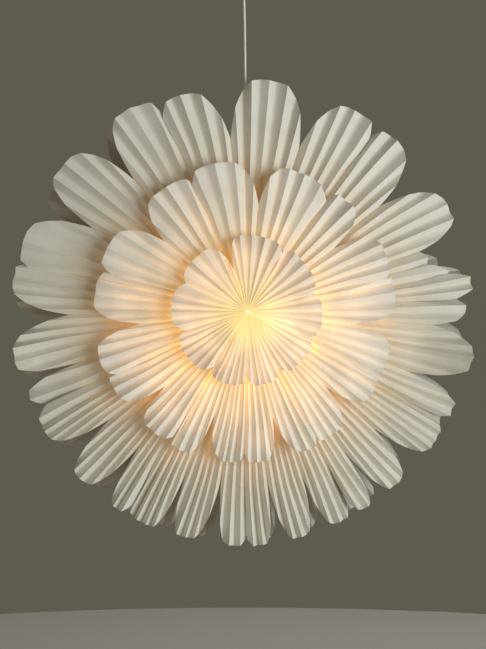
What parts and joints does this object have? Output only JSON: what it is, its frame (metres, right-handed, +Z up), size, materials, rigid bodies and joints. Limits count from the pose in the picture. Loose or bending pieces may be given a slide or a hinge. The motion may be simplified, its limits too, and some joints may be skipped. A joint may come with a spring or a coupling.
{
  "type": "accordion paper pendant lantern",
  "caption": "Round pleated paper flower lantern: overlapping rings of petals on folding card ribs, a lamp inside, hung on a cord from a ceiling cup.",
  "frame": {"origin": "centre of the hook plate's top face, where it meets the ceiling", "axes": "+Z up towards the ceiling, along the cord; the flower faces -Y; +X to the right seen from the front"},
  "size_m": [0.6462, 0.2, 0.8331],
  "materials": {
    "paper": "matt, warm white pleated paper",
    "rib_card": "matt card",
    "board_card": "matt grey-backed board",
    "steel": "zinc-plated",
    "magnet": "nickel-plated",
    "wire": "galvanised wire",
    "white_plastic": "moulded, satin",
    "ceramic": "glazed white",
    "cord": "white PVC sheath",
    "bulb_diffuser": "opal diffuser, lit",
    "bulb_body": "moulded",
    "cap_metal": "nickel-plated brass",
    "cup_paint": "satin white paint"
  },
  "bodies": {
    "ceiling": {"hook_plate": "steel", "ceiling_hook": "steel", "terminal_block": "white_plastic", "strain_relief": "white_plastic", "ceiling_cup": "cup_paint", "cup_screws": "steel", "cord_bush": "white_plastic"},
    "cord": {"pendant_cord": "cord"},
    "pendant": {"cord_grip": "white_plastic", "holder_cap": "white_plastic", "contact_block": "ceramic", "holder_shell": "white_plastic", "shade_ring": "white_plastic", "wire_carrier": "wire", "binding_rings": "wire"},
    "bulb": {"bulb_globe": "bulb_diffuser", "bulb_body": "bulb_body", "bulb_base": "cap_metal"},
    "right_leaf_1": {"right_rib_1": "rib_card", "right_inner_petals_1": "paper", "right_middle_petals_1": "paper", "right_outer_petals_1": "paper"},
    "right_leaf_2": {"right_rib_2": "rib_card", "right_inner_petals_2": "paper", "right_middle_petals_2": "paper", "right_outer_petals_2": "paper"},
    "right_leaf_3": {"right_rib_3": "rib_card", "right_inner_petals_3": "paper", "right_middle_petals_3": "paper", "right_outer_petals_3": "paper"},
    "right_leaf_4": {"right_rib_4": "rib_card", "right_inner_petals_4": "paper", "right_middle_petals_4": "paper", "right_outer_petals_4": "paper"},
    "right_leaf_5": {"right_end_board": "board_card", "right_magnets": "magnet", "right_inner_petals_5": "paper", "right_middle_petals_5": "paper", "right_outer_petals_5": "paper"},
    "left_leaf_1": {"left_rib_1": "rib_card", "left_inner_petals_1": "paper", "left_middle_petals_1": "paper", "left_outer_petals_1": "paper"},
    "left_leaf_2": {"left_rib_2": "rib_card", "left_inner_petals_2": "paper", "left_middle_petals_2": "paper", "left_outer_petals_2": "paper"},
    "left_leaf_3": {"left_rib_3": "rib_card", "left_inner_petals_3": "paper", "left_middle_petals_3": "paper", "left_outer_petals_3": "paper"},
    "left_leaf_4": {"left_rib_4": "rib_card", "left_inner_petals_4": "paper", "left_middle_petals_4": "paper", "left_outer_petals_4": "paper"},
    "left_leaf_5": {"left_end_board": "board_card", "left_magnets": "magnet", "left_inner_petals_5": "paper", "left_middle_petals_5": "paper", "left_outer_petals_5": "paper"}
  },
  "joints": [
    {"name": "pendant_swing", "type": "hinge", "parent": "ceiling", "child": "cord", "pos_m": [0, 0, -0.05], "axis": [0, 1, 0], "range_deg": [-15, 15]},
    {"name": "lantern_twist", "type": "hinge", "parent": "cord", "child": "pendant", "pos_m": [0, 0, -0.41], "axis": [0, 0, 1], "range_deg": [-120, 120]},
    {"name": "bulb_withdraw", "type": "slide", "parent": "pendant", "child": "bulb", "axis": [0, 0, -1], "range_m": [0, 0.03]},
    {"name": "right_fold", "type": "hinge", "parent": "pendant", "child": "right_leaf_1", "pos_m": [0, 0, -0.51], "axis": [0, -1, 0], "range_deg": [0, 29.5], "deforming": ["right_inner_petals_1", "right_middle_petals_1", "right_outer_petals_1"]},
    {"name": "right_fold_2", "type": "hinge", "parent": "right_leaf_1", "child": "right_leaf_2", "pos_m": [0, 0, -0.51], "axis": [0, -1, 0], "range_deg": [0, 40.91], "deforming": ["right_inner_petals_2", "right_middle_petals_2", "right_outer_petals_2"]},
    {"name": "right_fold_3", "type": "hinge", "parent": "right_leaf_2", "child": "right_leaf_3", "pos_m": [0, 0, -0.51], "axis": [0, -1, 0], "range_deg": [0, 36.41], "deforming": ["right_inner_petals_3", "right_middle_petals_3", "right_outer_petals_3"]},
    {"name": "right_fold_4", "type": "hinge", "parent": "right_leaf_3", "child": "right_leaf_4", "pos_m": [0, 0, -0.51], "axis": [0, -1, 0], "range_deg": [0, 27.91], "deforming": ["right_inner_petals_4", "right_middle_petals_4", "right_outer_petals_4"]},
    {"name": "right_fold_5", "type": "hinge", "parent": "right_leaf_4", "child": "right_leaf_5", "pos_m": [0, 0, -0.51], "axis": [0, -1, 0], "range_deg": [0, 22.11], "deforming": ["right_inner_petals_5", "right_middle_petals_5", "right_outer_petals_5"]},
    {"name": "left_fold", "type": "hinge", "parent": "pendant", "child": "left_leaf_1", "pos_m": [0, 0, -0.51], "axis": [0, 1, 0], "range_deg": [0, 16], "deforming": ["left_inner_petals_1", "left_middle_petals_1", "left_outer_petals_1"]},
    {"name": "left_fold_2", "type": "hinge", "parent": "left_leaf_1", "child": "left_leaf_2", "pos_m": [0, 0, -0.51], "axis": [0, 1, 0], "range_deg": [0, 52.21], "deforming": ["left_inner_petals_2", "left_middle_petals_2", "left_outer_petals_2"]},
    {"name": "left_fold_3", "type": "hinge", "parent": "left_leaf_2", "child": "left_leaf_3", "pos_m": [0, 0, -0.51], "axis": [0, 1, 0], "range_deg": [0, 37.61], "deforming": ["left_inner_petals_3", "left_middle_petals_3", "left_outer_petals_3"]},
    {"name": "left_fold_4", "type": "hinge", "parent": "left_leaf_3", "child": "left_leaf_4", "pos_m": [0, 0, -0.51], "axis": [0, 1, 0], "range_deg": [0, 28.91], "deforming": ["left_inner_petals_4", "left_middle_petals_4", "left_outer_petals_4"]},
    {"name": "left_fold_5", "type": "hinge", "parent": "left_leaf_4", "child": "left_leaf_5", "pos_m": [0, 0, -0.51], "axis": [0, 1, 0], "range_deg": [0, 22.11], "deforming": ["left_inner_petals_5", "left_middle_petals_5", "left_outer_petals_5"]}
  ],
  "couplings": [
    {"joint": "right_fold_2", "follows": "right_fold", "ratio": 1.3864},
    {"joint": "right_fold_3", "follows": "right_fold", "ratio": 1.2339},
    {"joint": "right_fold_4", "follows": "right_fold", "ratio": 0.94576},
    {"joint": "right_fold_5", "follows": "right_fold", "ratio": 0.74915},
    {"joint": "left_fold_2", "follows": "left_fold", "ratio": 3.2625},
    {"joint": "left_fold_3", "follows": "left_fold", "ratio": 2.35},
    {"joint": "left_fold_4", "follows": "left_fold", "ratio": 1.8062},
    {"joint": "left_fold_5", "follows": "left_fold", "ratio": 1.3813}
  ]
}
